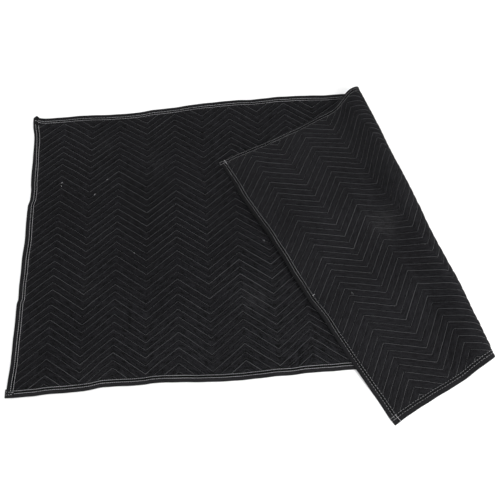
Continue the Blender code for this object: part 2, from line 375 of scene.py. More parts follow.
# Two crossing sets of yarns: a height for the bump, and a mask of the hollows between yarns
def makeWeave():
    group, given = newGroup("plainWeave", {"Yarns": 900.0, "Slubs": 0.35, "Fuzz": 0.5}, ("Height", "Hollows"))
    flat = given["Vector"]
    bend = noiseNode(group, (-700, -260), vector=flat, scale=grain["swayScale"], detail=2.0)
    centred = vectorNode(group, "SUBTRACT", (-540, -260), {0: bend.outputs["Color"], 1: (0.5, 0.5, 0.5)})
    small = vectorNode(group, "SCALE", (-400, -260), {0: centred, "Scale": grain["sway"]})
    moved = vectorNode(group, "ADD", (-260, -120), {0: flat, 1: small})
    split = nodeIn(group, "ShaderNodeSeparateXYZ", (-120, -120), {0: moved}).outputs
    turns = mathNode(group, "MULTIPLY", (-260, 120), given["Yarns"], math.pi)
    warp = mathNode(group, "SINE", (140, 60), mathNode(group, "MULTIPLY", (20, 60), split[0], turns))
    weft = mathNode(group, "SINE", (140, -120), mathNode(group, "MULTIPLY", (20, -120), split[1], turns))
    over = mathNode(group, "MULTIPLY", (280, -20), warp, weft)
    warpHeight = mathNode(group, "ABSOLUTE", (280, 120), warp)
    weftHeight = mathNode(group, "ABSOLUTE", (280, -160), weft)
    yarns = mathNode(group, "ADD", (420, 0), warpHeight, weftHeight)
    height = mathNode(group, "MULTIPLY_ADD", (520, -60), over, 0.5, yarns)
    slub = noiseNode(group, (140, -340), vector=flat, scale=grain["slubScale"], detail=3.0, roughness=0.6)
    fuzz = noiseNode(group, (140, -560), vector=flat, scale=grain["fuzzScale"], detail=4.0, roughness=0.65)
    slubs = mathNode(group, "MULTIPLY", (420, -300), slub.outputs["Fac"], given["Slubs"])
    fuzzes = mathNode(group, "MULTIPLY", (420, -480), fuzz.outputs["Fac"], given["Fuzz"])
    total = mathNode(group, "ADD", (740, -200), mathNode(group, "ADD", (640, -160), height, slubs), fuzzes)
    hollows = mapped(group, (640, 200), yarns, 0.3, 1.3, 1.0, 0.0)
    return giveOut(group, {"Height": total, "Hollows": hollows})


# Lint, dust and rubbed places, as a mask of pale specks and a mask of broad wear
def makeDust():
    numbers = {"Speck Size": 420.0, "Speck Share": 0.10, "Patch Size": 5.0}
    group, given = newGroup("lintAndDust", numbers, ("Specks", "Patches"))
    cellInputs = {"Vector": given["Vector"], "Scale": given["Speck Size"]}
    cells = nodeIn(group, "ShaderNodeTexVoronoi", (-600, 160), cellInputs).outputs
    chosen = nodeIn(group, "ShaderNodeSeparateXYZ", (-400, 60), {0: cells["Color"]}).outputs
    few = mathNode(group, "LESS_THAN", (-220, 60), chosen[0], given["Speck Share"])
    near = mapped(group, (-400, 260), cells["Distance"], 0.05, 0.35, 1.0, 0.0)
    specks = mathNode(group, "MULTIPLY", (0, 160), few, near)
    faint = mathNode(group, "MULTIPLY", (160, 160), specks, chosen[1])
    size = given["Patch Size"]
    broad = noiseNode(group, (-400, -200), vector=given["Vector"], scale=size, detail=5.0, roughness=0.55)
    patches = mapped(group, (0, -200), broad.outputs["Fac"], 0.35, 0.68, 0.0, 1.0)
    return giveOut(group, {"Specks": faint, "Patches": patches})


# The cloth along its stitch lines, as a factor for the colour: painted shade of fine puckers that run with
# the lines, with fine spots of grain, and painted shade in the crease on either side of each line
def makeStreaks():
    numbers = {"Along": 60.0, "Across": 240.0, "Spots": 340.0, "Strength": 0.4}
    numbers |= {"First Line": 0.0, "Line Gap": 0.0251, "Crease Half": 0.0045, "Crease Shade": 0.3}
    group, given = newGroup("paintedPuckerAndCreaseShade", numbers, ("Factor",))
    flat = given["Vector"]
    scale = nodeIn(group, "ShaderNodeCombineXYZ", (-700, -160), {0: given["Along"], 1: given["Across"]})
    stretched = vectorNode(group, "MULTIPLY", (-500, 0), {0: flat, 1: scale.outputs[0]})
    drawn = noiseNode(group, (-300, 100), vector=stretched, scale=1.0, detail=1.0)
    spots = noiseNode(group, (-300, -200), vector=flat, scale=given["Spots"], detail=1.0)
    both = mathNode(group, "ADD", (-100, 0), drawn.outputs["Fac"], spots.outputs["Fac"])
    centred = mathNode(group, "SUBTRACT", (60, 0), both, 1.0)
    spread = mathNode(group, "MULTIPLY", (200, 0), centred, 5.0)
    held = nodeIn(group, "ShaderNodeClamp", (340, 0), {0: spread, 1: -1.0, 2: 1.0})
    strong = mathNode(group, "MULTIPLY", (500, 0), held.outputs[0], given["Strength"])
    puckers = mathNode(group, "ADD", (600, 0), strong, 1.0)
    split = nodeIn(group, "ShaderNodeSeparateXYZ", (-700, -420), {0: flat}).outputs
    after = mathNode(group, "SUBTRACT", (-500, -420), given["First Line"], split[1])
    half = mathNode(group, "MULTIPLY", (-500, -560), given["Line Gap"], 0.5)
    away = mathNode(group, "PINGPONG", (-300, -460), after, half)
    share = mathNode(group, "DIVIDE", (-120, -460), away, given["Crease Half"])
    outside = mapped(group, (60, -460), share, 0.0, 1.0, 0.0, 1.0, interpolation_type="SMOOTHSTEP")
    closed = mathNode(group, "SUBTRACT", (240, -460), 1.0, outside)
    deep = mathNode(group, "MULTIPLY", (400, -460), closed, given["Crease Shade"])
    creases = mathNode(group, "SUBTRACT", (560, -460), 1.0, deep)
    return giveOut(group, {"Factor": mathNode(group, "MULTIPLY", (740, -200), puckers, creases)})


weaveGroup = makeWeave()
dustGroup = makeDust()
streakGroup = makeStreaks()


def startMaterial(name, look):
    material = bpy.data.materials.new(name)
    material.use_nodes = True
    tree = material.node_tree
    shader = tree.nodes["Principled BSDF"]
    shader.inputs["Roughness"].default_value = look["roughness"]
    shader.inputs["Specular IOR Level"].default_value = look["specular"]
    shader.inputs["Sheen Weight"].default_value = look.get("sheen", 0.0)
    shader.inputs["Sheen Roughness"].default_value = 0.6
    return material, tree, shader


def dustNode(tree, place, where, speckSize, speckShare, patchSize):
    inputs = {"Vector": where, "Speck Size": speckSize, "Speck Share": speckShare, "Patch Size": patchSize}
    return nodeIn(tree, "ShaderNodeGroup", place, inputs, node_tree=dustGroup).outputs


# Gives the shader its colour, and a bump made from a height
def dress(tree, shader, colour, height, strength, depth):
    inputs = {"Strength": strength, "Distance": depth, "Height": height}
    bump = nodeIn(tree, "ShaderNodeBump", (-300, -240), inputs)
    tree.links.new(colour, shader.inputs["Base Color"])
    tree.links.new(bump.outputs[0], shader.inputs["Normal"])


# A black woven cloth on the piece's own flat coordinates, with yarns, fuzz, lint and rubbed patches, and with
# painted shade in darker places, dents, hollows and creases, and along the stitch lines
def clothMaterial(name, look):
    material, tree, shader = startMaterial(name, look)
    flat = nodeIn(tree, "ShaderNodeUVMap", (-1400, 0), uv_map="clothFlat").outputs[0]
    yarns = {"Vector": flat, "Yarns": look["yarns"], "Slubs": look["slubs"], "Fuzz": look["fuzz"]}
    weave = nodeIn(tree, "ShaderNodeGroup", (-1100, -200), yarns, node_tree=weaveGroup).outputs
    dust = dustNode(tree, (-1100, 200), flat, look["speckSize"], look["speckShare"], look["patchSize"])
    side = nodeIn(tree, "ShaderNodeAttribute", (-1100, 460), attribute_name="backSide").outputs["Fac"]
    dustAndShade = nodeIn(tree, "ShaderNodeAttribute", (-1100, 640), attribute_name="dustAndShade").outputs["Fac"]
    base = mixColour(tree, side, look["face"], look["back"], (-800, 460))
    rubbed = mixColour(tree, dust["Patches"], look["patchDark"], look["patchPale"], (-800, 200))
    worn = mixColour(tree, 1.0, base, rubbed, (-560, 320), "MULTIPLY")
    hollow = mathNode(tree, "MULTIPLY", (-800, -40), weave["Hollows"], look["hollowShade"])
    shaded = mixColour(tree, hollow, worn, (0.0, 0.0, 0.0), (-360, 240))
    patchy = mapped(tree, (-800, 640), dust["Patches"], 0.0, 1.0, 0.45, 1.0)
    dusted = nodeIn(tree, "ShaderNodeClamp", (-800, 820), {0: dustAndShade}).outputs[0]
    powder = mathNode(tree, "MULTIPLY", (-560, 640), dusted, patchy)
    dustedAndShaded = mixColour(tree, powder, shaded, look["dust"], (-300, 480))
    # below nought the amount is painted shade, which darkens the colour down to the dull share
    dull = mapped(tree, (-560, 820), dustAndShade, -1.0, 0.0, look["dull"], 1.0)
    dustedAndShaded = mixColour(tree, 1.0, dustedAndShaded, dull, (-240, 640), "MULTIPLY")
    # painted shade of the puckers and of the crease beside each stitch line
    if look["streaks"]:
        lined = nodeIn(tree, "ShaderNodeUVMap", (-1400, 900), uv_map="alongLines").outputs[0]
        strength = mapped(tree, (-1300, 760), side, 0.0, 1.0, look["streaks"], look["backStreaks"])
        lines = {"First Line": panel["firstLineY"], "Line Gap": panel["lineGap"]}
        creases = {"Crease Half": look["creaseHalf"], "Crease Shade": look["creaseShade"]}
        inputs = {"Vector": lined, "Strength": strength, **lines, **creases}
        streak = nodeIn(tree, "ShaderNodeGroup", (-1100, 900), inputs, node_tree=streakGroup)
        dustedAndShaded = mixColour(tree, 1.0, dustedAndShaded, streak.outputs[0], (-180, 720), "MULTIPLY")
    speckled = mathNode(tree, "MULTIPLY", (-560, 40), dust["Specks"], look["speckStrength"])
    final = mixColour(tree, speckled, dustedAndShaded, look["speck"], (-120, 300))
    dress(tree, shader, final, weave["Height"], look["bump"], look["bumpDepth"])
    return material


spinning = {
    "fleckShare": 0.5,
    "fleckStrength": 0.4,
    "twistScale": 2600.0,
    "bump": 0.5,
    "bumpDepth": 0.0002,
}


# Spun thread: a twist along the stitch is too fine to show, so its colour varies and its surface is ribbed
def threadMaterial(name, look):
    material, tree, shader = startMaterial(name, look)
    where = nodeIn(tree, "ShaderNodeTexCoord", (-1100, 0)).outputs["Object"]
    dust = dustNode(tree, (-800, 160), where, look["fleckSize"], spinning["fleckShare"], look["patchSize"])
    broad = mixColour(tree, dust["Patches"], look["dull"], look["bright"], (-500, 160))
    flecks = mathNode(tree, "MULTIPLY", (-500, -40), dust["Specks"], spinning["fleckStrength"])
    final = mixColour(tree, flecks, broad, look["fleck"], (-260, 120))
    twist = noiseNode(tree, (-800, -260), vector=where, scale=spinning["twistScale"], detail=2.0)
    dress(tree, shader, final, twist.outputs["Fac"], spinning["bump"], spinning["bumpDepth"])
    return material


# Pieces from arrays

def addMap(mesh, name, flat):
    layer = mesh.uv_layers.new(name=name)
    corner = np.zeros(len(mesh.loops), np.int32)
    mesh.loops.foreach_get("vertex_index", corner)
    layer.data.foreach_set("uv", flat[corner].astype(np.float32).ravel())


def addAmount(mesh, name, amounts):
    layer = mesh.attributes.new(name, "FLOAT", "POINT")
    layer.data.foreach_set("value", amounts.astype(np.float32))


def addToScene(name, data):
    thing = bpy.data.objects.new(name, data)
    scene.collection.objects.link(thing)
    return thing


def meshPiece(name, points, faces, material, flat):
    mesh = bpy.data.meshes.new(name)
    mesh.from_pydata(points.tolist(), [], faces)
    mesh.update()
    addMap(mesh, "clothFlat", flat)
    mesh.polygons.foreach_set("use_smooth", np.ones(len(mesh.polygons), bool))
    mesh.materials.append(material)
    piece = addToScene(name, mesh)
    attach(piece, "root")
    return piece


# The quilted panel

panel = {
    "edge": 0.0013,
    "underTape": 0.0225,
    "hemHalf": 0.0005,
    "crownRise": 0.0024,
    "grooveDepth": 0.0004,
    "pressedGroove": 0.0007,
    "crownFade": 0.030,
    "fullness": 4.0,
    "puffiness": 0.22,
    "period": 0.2009,
    "zigzagHeight": 0.0766,
    "lineGap": 0.0251,
    "firstPeak": 0.1075,
    "firstLineY": 0.9854,
    "rows": (0.0, 0.07, 0.22, 0.5, 0.78, 0.93),
    "columnsPerSlant": 8,
    "columnsPerSlantInBend": 13,
    "hemFade": 0.009,
    "puffSize": 0.013,
    "grooveSharpness": 6,
    "afterHem": 0.004,
    "columnRoom": 0.002,
    "trimRoom": 0.02,
    "bendBefore": 0.080,
    "bendAfter": 0.150,
    "creaseColumns": (0.3515, 0.3565, 0.3605, 0.3645, 0.3685, 0.8645, 0.8690, 0.8735),
    "faceThread": (1.09, 0.90),
    "backThread": (0.75, 0.89),
    "threadFade": (0.05, 0.6),
    "freeFade": 0.26,
    "freeFadeX": (1.60, 0.16),
    "freeFadeY": (0.15, 0.15),
    "dentShade": 1500.0,
}

# Dusty places and, with a strength below nought, darker places of painted shade: x, y, radius, strength; on
# the cloth's face, and on its back, which shows on the flap
faceDustAndShade = [
    (0.757, 0.238, 0.040, 1.0),
    # the next four, wide and faint, make the face paler towards the near edge
    (0.950, 0.060, 0.230, 0.22),
    (0.550, 0.030, 0.200, 0.22),
    (0.250, 0.020, 0.180, 0.20),
    (0.800, 0.300, 0.180, 0.12),
    (0.252, 0.876, 0.030, 0.35),
    (0.212, 0.322, 0.030, 0.35),
    (0.437, 0.771, 0.036, 0.40),
    (0.140, 0.700, 0.070, -0.30),
    (0.145, 0.520, 0.070, -0.30),
    (0.380, 0.690, 0.080, -0.30),
    (0.400, 0.480, 0.080, -0.25),
    (0.160, 0.150, 0.060, -0.30),
]
backDustAndShade = [
    (1.481, 0.530, 0.044, 1.5),
    (1.556, 0.682, 0.040, -0.25),
    (1.746, 0.703, 0.040, -0.20),
    (1.552, 0.385, 0.040, -0.25),
    (1.408, 0.658, 0.040, -0.25),
    (1.352, 0.950, 0.040, -0.20),
    (1.790, 0.850, 0.110, -0.15),
]

# Short sharp dents pressed into the quilting and painted darker as shade: from x, y to x, y, depth, half
# width
faceDents = [
    (0.354, 0.275, 0.363, 0.155, 0.0016, 0.0032),
    (0.868, 0.105, 0.868, -0.040, 0.0015, 0.0030),
]
backDents = [
    (1.550, 0.095, 1.596, 0.030, 0.0016, 0.0050),
]

# The tape folded over every edge; its corners at the left end are folded squares
tape = {
    "width": 0.0228,
    "stand": 0.0024,
    "bulge": 0.0004,
    "rowDip": 0.0006,
    "rowWidth": 0.0013,
    "rows": (0.0122, 0.0201),
    "edgeRound": 0.0021,
    "wall": 0.0009,
    "outside": (0.0219, 0.0210, 0.0201, 0.0192, 0.0177, 0.0162, 0.0147, 0.0132, 0.0122, 0.0112, 0.0090,
                0.0060, 0.0035, 0.0020, 0.0011, 0.0004),
    "inside": (0.0120, 0.0010),
    "fanTurns": (7, 13),
    "step": 0.007,
    "endStations": (0.0003, 0.0008, 0.0014, 0.0022, 0.0045, 0.0095, 0.0120, 0.0165, 0.0190, 0.0235, 0.0246,
                    0.0254, 0.0262, 0.0274),
    "creaseStations": (-0.0050, -0.0020, 0.0020, 0.0050),
    "waviness": 0.0005,
    "wavinessSize": 0.0060,
    "wavinessFrom": 0.0200,
    "wavinessFade": 0.002,
    "pucker": 0.0003,
    "puckerSize": 0.0034,
    "puckerFade": 0.004,
    "tuckedHalf": 0.0008,
    "tuckedTo": 0.0255,
    "tuckedStep": 0.0012,
    "backNarrower": 0.0040,
    "cornerNarrower": 0.0037,
    "narrowFrom": 1.49,
    "narrowTo": 1.61,
    "faceWider": 0.0019,
    "nearBackShift": 0.0014,
    "cornerSquare": 0.0260,
    "cornerRise": 0.0008,
    "cornerRiseStep": 0.0012,
    "cornerOut": 0.0037,
    "cornerOutStep": 0.0008,
    "cornerOutDepth": 0.012,
}

# Dust on the tape, as shares of full dust, and its painted shade: in the hollow between the rows, on the far
# part of the free end's margin, and in the crease across the near strip
tapeShadeAndDust = {
    "near": 0.75,
    "left": 0.25,
    "square": 0.60,
    "backShare": 0.45,
    "rowsLess": 0.5,
    "freeDust": (0.10, 0.15),
    "freeMarginShade": 0.55,
    "freeMarginShadeAlong": (0.35, 0.25),
    "backHollow": 0.60,
    "hollowHalf": 0.0034,
    "hollowFade": 0.0018,
    "creaseAt": 0.8680,
    "creaseShadeOnTape": 1.2,
    "creaseHalf": 0.0050,
    "creaseFade": 0.0030,
}

# The left rows wander: y, how far the outer one and the inner one lie further in
leftWander = [
    (0.030, 0.0016, 0.0016),
    (0.230, 0.0016, 0.0013),
    (0.350, 0.0022, 0.0015),
    (0.410, 0.0029, 0.0032),
    (0.500, 0.0026, 0.0032),
    (0.590, 0.0024, 0.0028),
    (0.680, 0.0010, 0.0014),
    (0.790, 0.0030, 0.0031),
    (0.880, -0.0003, 0.0003),
    (0.950, -0.0028, 0.0006),
]

# The back of the cloth, which shows on the flap, is paler than its face: partly the cloth's own colour,
# partly painted light that falls on the flap
panelLook = {
    "face": (0.0063, 0.0063, 0.0073),
    "back": (0.0091, 0.0091, 0.0103),
    "patchDark": (0.88, 0.88, 0.88),
    "patchPale": (1.14, 1.14, 1.15),
    "patchSize": 6.0,
    "hollowShade": 0.35,
    "dust": (0.0165, 0.0165, 0.0178),
    "streaks": 0.95,
    "backStreaks": 0.52,
    "creaseHalf": 0.0048,
    "creaseShade": 0.32,
    "dull": 0.60,
    "speck": (0.10, 0.10, 0.105),
    "speckStrength": 0.35,
    "speckSize": 300.0,
    "speckShare": 0.05,
    "yarns": 900.0,
    "slubs": 0.5,
    "fuzz": 0.9,
    "bump": 0.55,
    "bumpDepth": 0.00035,
    "roughness": 0.92,
    "specular": 0.08,
    "sheen": 0.01,
}


def zigzagDip(x):
    share = ((x - panel["firstPeak"]) / panel["period"]) % 1.0
    return panel["zigzagHeight"] * (1 - np.abs(2 * share - 1))


# The far strip was folded over unevenly: it is wider on the cloth's face and narrower on its back, most so
# towards the free end. A nominal inset there becomes a real one, and back
def missing(x, side):
    share = ramp(x, tape["narrowFrom"], tape["narrowTo"] - tape["narrowFrom"])
    onFlap = tape["backNarrower"] + tape["cornerNarrower"] * share
    return onFlap if side < 0 else x * 0 - tape["faceWider"]


def placedInset(inset, x, side):
    return inset - missing(x, side) * np.clip(inset / tape["rows"][0], 0, 1)


def nominalInset(inset, x, side):
    first, less = tape["rows"][0], missing(x, side)
    return np.where(inset < first - less, inset * first / (first - less), inset + less)


def edgeDistance(x, y, side):
    fromLong = np.minimum(y, nominalInset(cloth["width"] - y, x, side))
    return np.minimum(np.minimum(x, cloth["length"] - x), fromLong)


def dustAndShadeAt(rows, x, y):
    total = np.zeros_like(x)
    for x1, y1, radius, strength in rows:
        total += strength * np.exp(-((x - x1) ** 2 + (y - y1) ** 2) / radius**2)
    return total


# 1 where a side of the cloth is open to the air, 0 where it rests on the floor or on the lower layer
def openShare(x, y, side):
    return smooth(-side * (pastCrease(x, y) + cloth["bendStart"]) / panel["crownFade"])


# Half the thickness of the cloth on its face (side 1) or its back (side -1)
def quiltHeight(x, y, side):
    share = ((panel["firstLineY"] - y - zigzagDip(x)) / panel["lineGap"]) % 1.0
    near = 2 * np.minimum(share, 1 - share)
    pillow = 1 - (1 - near) ** panel["fullness"]
    pillow = pillow * (1 + panel["puffiness"] * uneven(x, y, panel["puffSize"], side))
    distance = edgeDistance(x, y, side)
    inside = ramp(distance, cloth["hem"], panel["hemFade"])
    opened = openShare(x, y, side)
    groove = (1 - near) ** panel["grooveSharpness"]
    height = cloth["halfThick"] + panel["crownRise"] * pillow * inside * opened
    groove = groove * (panel["grooveDepth"] * opened + panel["pressedGroove"] * (1 - opened))
    height = height - groove * inside
    dents = ridgeLift(faceDents if side > 0 else backDents, x, y)
    height = np.maximum(height - dents, cloth["halfThick"] - panel["grooveDepth"])
    return np.where(distance < (panel["underTape"] + cloth["hem"]) / 2, panel["hemHalf"], height)


def panelColumns():
    slant = panel["period"] / 2
    start = panel["firstPeak"] - 2 * slant
    bendFrom = cloth["creaseFarX"] - panel["bendBefore"]
    bendTo = cloth["creaseNearX"] + panel["bendAfter"]
    xs = []
    for k in range(math.ceil((cloth["length"] - start) / slant) + 1):
        left = start + k * slant
        inBend = left + slant > bendFrom and left < bendTo
        parts = panel["columnsPerSlantInBend"] if inBend else panel["columnsPerSlant"]
        xs += [left + slant * j / parts for j in range(parts)]
    hem = [panel["edge"], panel["underTape"], cloth["hem"], cloth["hem"] + panel["afterHem"]]
    hem = hem + [cloth["length"] - x for x in hem]
    kept = [*hem, *panel["creaseColumns"]]
    xs = [x for x in xs if hem[0] < x < hem[4] and min(abs(x - k) for k in kept) > panel["columnRoom"]]
    return np.array(sorted(xs + kept))


# The flat grid follows the zigzag, so that every stitch line is a row, and is trimmed at the hem
def panelGrid():
    xs = panelColumns()
    low = math.floor((panel["firstLineY"] - cloth["width"] - panel["zigzagHeight"]) / panel["lineGap"]) - 1
    high = math.ceil(panel["firstLineY"] / panel["lineGap"]) + 1
    lines = np.array([k + part for k in range(low, high) for part in panel["rows"]])
    gx, gl = np.meshgrid(xs, lines)
    gy = panel["firstLineY"] - gl * panel["lineGap"] - zigzagDip(gx)
    rows, columns = gx.shape
    index = np.arange(rows * columns).reshape(rows, columns)
    quads = np.stack([index[1:, :-1], index[1:, 1:], index[:-1, 1:], index[:-1, :-1]], -1).reshape(-1, 4)
    middleY = gy.ravel()[quads].mean(1)
    quads = quads[(middleY > -panel["trimRoom"]) & (middleY < cloth["width"] + panel["trimRoom"])]
    used, quads = np.unique(quads, return_inverse=True)
    quads = quads.reshape(-1, 4)
    flat = np.stack([gx.ravel()[used], gy.ravel()[used], np.zeros(len(used))], -1)
    mesh = bpy.data.meshes.new("flatGrid")
    mesh.from_pydata(flat.tolist(), [], quads.tolist())
    bm = bmesh.new()
    bm.from_mesh(mesh)
    bpy.data.meshes.remove(mesh)
    insets = (panel["edge"], panel["underTape"], cloth["hem"])
    drops = (tape["backNarrower"], tape["backNarrower"] + tape["cornerNarrower"])
    cuts = [(inset, inset == panel["edge"], way) for inset in insets for way in (-1, 1)]
    cuts += [(inset - drop, False, 1) for inset in insets[1:] for drop in drops]
    for inset, trims, way in cuts:
        bmesh.ops.bisect_plane(
            bm, geom=bm.verts[:] + bm.edges[:] + bm.faces[:], dist=0.00002, clear_outer=trims,
            plane_co=(0, inset if way < 0 else cloth["width"] - inset, 0), plane_no=(0, way, 0),
        )
    bm.verts.index_update()
    points = np.array([v.co.xy for v in bm.verts])
    faces = [[v.index for v in f.verts] for f in bm.faces]
    rimLoops = [e.link_loops[0] for e in bm.edges if e.is_boundary]
    rim = [(loop.vert.index, loop.link_loop_next.vert.index) for loop in rimLoops]
    bm.free()
    return points, faces, rim


def buildPanel():
    flat, faces, rim = panelGrid()
    x, y = flat.T
    count = len(flat)
    top, _ = foldCloth(x, y, quiltHeight(x, y, 1))
    bottom, _ = foldCloth(x, y, -quiltHeight(x, y, -1))
    allFaces = list(faces)
    allFaces += [[k + count for k in reversed(face)] for face in faces]
    allFaces += [[b, a, a + count, b + count] for a, b in rim]
    points = np.concatenate([top, bottom])
    onCloth = np.concatenate([flat, flat])
    piece = meshPiece("quiltedPad", points, allFaces, clothMaterial("blackQuiltCloth", panelLook), onCloth)
    addAmount(piece.data, "backSide", np.concatenate([np.zeros(count), np.ones(count)]))
    addMap(piece.data, "alongLines", onCloth + np.stack([onCloth[:, 0] * 0, zigzagDip(onCloth[:, 0])], -1))
    sides = ((faceDustAndShade, faceDents), (backDustAndShade, backDents))
    # the amounts are dust, less painted shade at the darker places and in the dents
    dustAndShadeAmounts = [dustAndShadeAt(dust, x, y) - panel["dentShade"] * ridgeLift(dents, x, y) for dust, dents in sides]
    addAmount(piece.data, "dustAndShade", np.concatenate(dustAndShadeAmounts))
    return piece


quiltedPad = buildPanel()
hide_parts("quilted_panel")
print("quilted pad:", len(quiltedPad.data.polygons), "faces")

# The binding tape

tapeLook = {
    "face": (0.0062, 0.0062, 0.0070),
    "back": (0.0075, 0.0075, 0.0084),
    "patchDark": (0.86, 0.86, 0.86),
    "patchPale": (1.18, 1.18, 1.19),
    "patchSize": 14.0,
    "hollowShade": 0.30,
    "dust": (0.0170, 0.0170, 0.0182),
    "streaks": 0.0,
    "dull": 0.24,
    "speck": (0.12, 0.12, 0.125),
    "speckStrength": 0.30,
    "speckSize": 380.0,
    "speckShare": 0.05,
    "yarns": 1300.0,
    "slubs": 0.35,
    "fuzz": 0.5,
    "bump": 0.5,
    "bumpDepth": 0.00025,
    "roughness": 0.85,
    "specular": 0.10,
    "sheen": 0.01,
}


def roundedEdge(inset):
    return np.sqrt(1 - (1 - np.clip(inset / tape["edgeRound"], 0, 1)) ** 2)


# How far the tape stands above the middle of the cloth, at a distance in from the edge and along it
def tapeHeight(inset, distance, turn):
    between = 0.5 - 0.5 * np.cos(2 * math.pi * np.clip(inset / tape["rows"][0], 0, 1))
    height = tape["stand"] + tape["bulge"] * between
    for row in tape["rows"]:
        height = height - tape["rowDip"] * np.exp(-(((inset - row) / tape["rowWidth"]) ** 2))
    puckers = tape["pucker"] * uneven(distance, inset * 1.4, tape["puckerSize"], turn)
    return (height + puckers * np.clip(inset / tape["puckerFade"], 0, 1)) * roundedEdge(inset)


# The side that rests on the floor or on the lower layer is pressed flat
def pressed(height, x, y, side):
    above = height - cloth["halfThick"]
    return np.where(above > 0, cloth["halfThick"] + above * openShare(x, y, side), height)


# The tape's outer face at any flat point under it: the short strips lie over the ends of the long ones
def bindingTop(x, y, side):
    fromShort = np.minimum(x, cloth["length"] - x)
    fromLong = np.minimum(y, nominalInset(cloth["width"] - y, x, side))
    endRound = roundedEdge(fromLong)
    square = smooth((tape["cornerSquare"] - fromLong) / tape["cornerRiseStep"])
    square = square * (x < tape["width"]) * (side > 0)
    onShort = tapeHeight(fromShort, y, 3.0) * endRound
    squareTop = (tape["stand"] + tape["cornerRise"]) * roundedEdge(fromShort) * endRound
    onShort = onShort + square * (squareTop - onShort)
    height = np.where(fromShort < tape["width"], onShort, tapeHeight(fromLong, x, 5.0))
    return pressed(height, x, y, side)


# Round the strip's section, each point as its inset and its level: 1 and -1 on the outside over the face and
# the back of the cloth, 0 at the edge itself, 2 and -2 on the inside
def tapeProfile():
    outside = [tape["width"], *tape["outside"]]
    inside = [tape["width"], *tape["inside"]]
    outer = [(inset, 1) for inset in outside] + [(0.0, 0)] + [(inset, -1) for inset in reversed(outside)]
    return outer + [(inset, -2) for inset in inside] + [(inset, 2) for inset in reversed(inside)]


# Dust on the tapes, most along the near side and its outer margin and on the folded square at the near left,
# and, below nought, painted shade in the hollow between the two rows, on the far part of the free end's
# margin and in the crease across the near strip
def dustAndShadeOnTape(name, inset, level, on):
    nearBack = name == "nearTape" and level < 0
    margin = 1 - tapeShadeAndDust["rowsLess"] * min(1, inset / tape["rows"][0])
    amount = {"nearTape": tapeShadeAndDust["near"], "leftTape": tapeShadeAndDust["left"]}.get(name, 0.0) * margin
    shift = on * 0
    if nearBack:
        amount = amount * tapeShadeAndDust["backShare"]
        shift = shift + tape["nearBackShift"]
    if name == "freeEndTape":
        # painted shade on the outer margin of the free end, towards its far part
        dull = tapeShadeAndDust["freeMarginShade"] * ramp(on, *tapeShadeAndDust["freeMarginShadeAlong"]) * (inset < tape["rows"][0])
        dust = tapeShadeAndDust["near"] * tapeShadeAndDust["backShare"] * margin
        amount = dust * (1 - ramp(on, *tapeShadeAndDust["freeDust"])) - dull
    if name == "leftTape" and level > 0:
        shift = (along(leftWander, 1, on) + along(leftWander, 2, on)) / 2
    # painted shade in the hollow between the two rows
    fromGap = np.abs(inset - sum(tape["rows"]) / 2 - shift)
    hollow = smooth((tapeShadeAndDust["hollowHalf"] - fromGap) / tapeShadeAndDust["hollowFade"])
    hollow = hollow * (tapeShadeAndDust["backHollow"] if nearBack else 1)
    amount = amount * (1 - hollow) - hollow
    # painted shade in the crease across the near strip
    if name == "nearTape" and level > 0:
        fromCrease = np.abs(on - tapeShadeAndDust["creaseAt"])
        crease = smooth((tapeShadeAndDust["creaseHalf"] - fromCrease) / tapeShadeAndDust["creaseFade"])
        amount = amount - tapeShadeAndDust["creaseShadeOnTape"] * crease
    if name == "leftTape":
        amount = np.where(on < tape["cornerSquare"], tapeShadeAndDust["square"], amount)
    return amount


# The places along a strip at which its section is set, closest together at the corners
def tapeStations(name, span):
    stations = np.linspace(0, span, int(span / tape["step"]) + 1).tolist()
    stations += [place for station in tape["endStations"] for place in (station, span - station)]
    if name == "nearTape":
        stations += [tapeShadeAndDust["creaseAt"] + way for way in tape["creaseStations"]]
    return np.array(sorted(set(stations)))


# One line of the section all along a strip, as points in the room and as flat points of the tape itself
def tapeLine(name, span, pointOn, isShort, stations, inset, level):
    side = 1 if level > 0 else -1
    wander = tape["waviness"] * uneven(stations, stations * 0, tape["wavinessSize"], inset * 20 + len(name))
    wander = wander * np.clip((inset - tape["wavinessFrom"]) / tape["wavinessFade"], 0, 1)
    at = np.full_like(stations, inset) + wander
    x, y = pointOn(placedInset(at, stations, side) if name == "farTape" else at, stations)
    inWall = abs(level) == 2
    height = np.full_like(stations, tape["wall"]) if inWall else bindingTop(x, y, side)
    if name == "leftTape":
        standing = smooth((tape["cornerSquare"] - stations) / tape["cornerOutStep"])
        x = x - tape["cornerOut"] * standing * np.clip(1 - inset / tape["cornerOutDepth"], 0, 1)
    if not isShort:
        corner = np.minimum(stations, span - stations)
        tucked = smooth((tape["tuckedTo"] - corner) / tape["tuckedStep"])
        height = height * (1 - tucked) + np.minimum(height, tape["tuckedHalf"]) * tucked
    points, _ = foldCloth(x, y, side * height * (level != 0))
    return points, np.stack([stations, np.full_like(stations, inset * side)], -1)


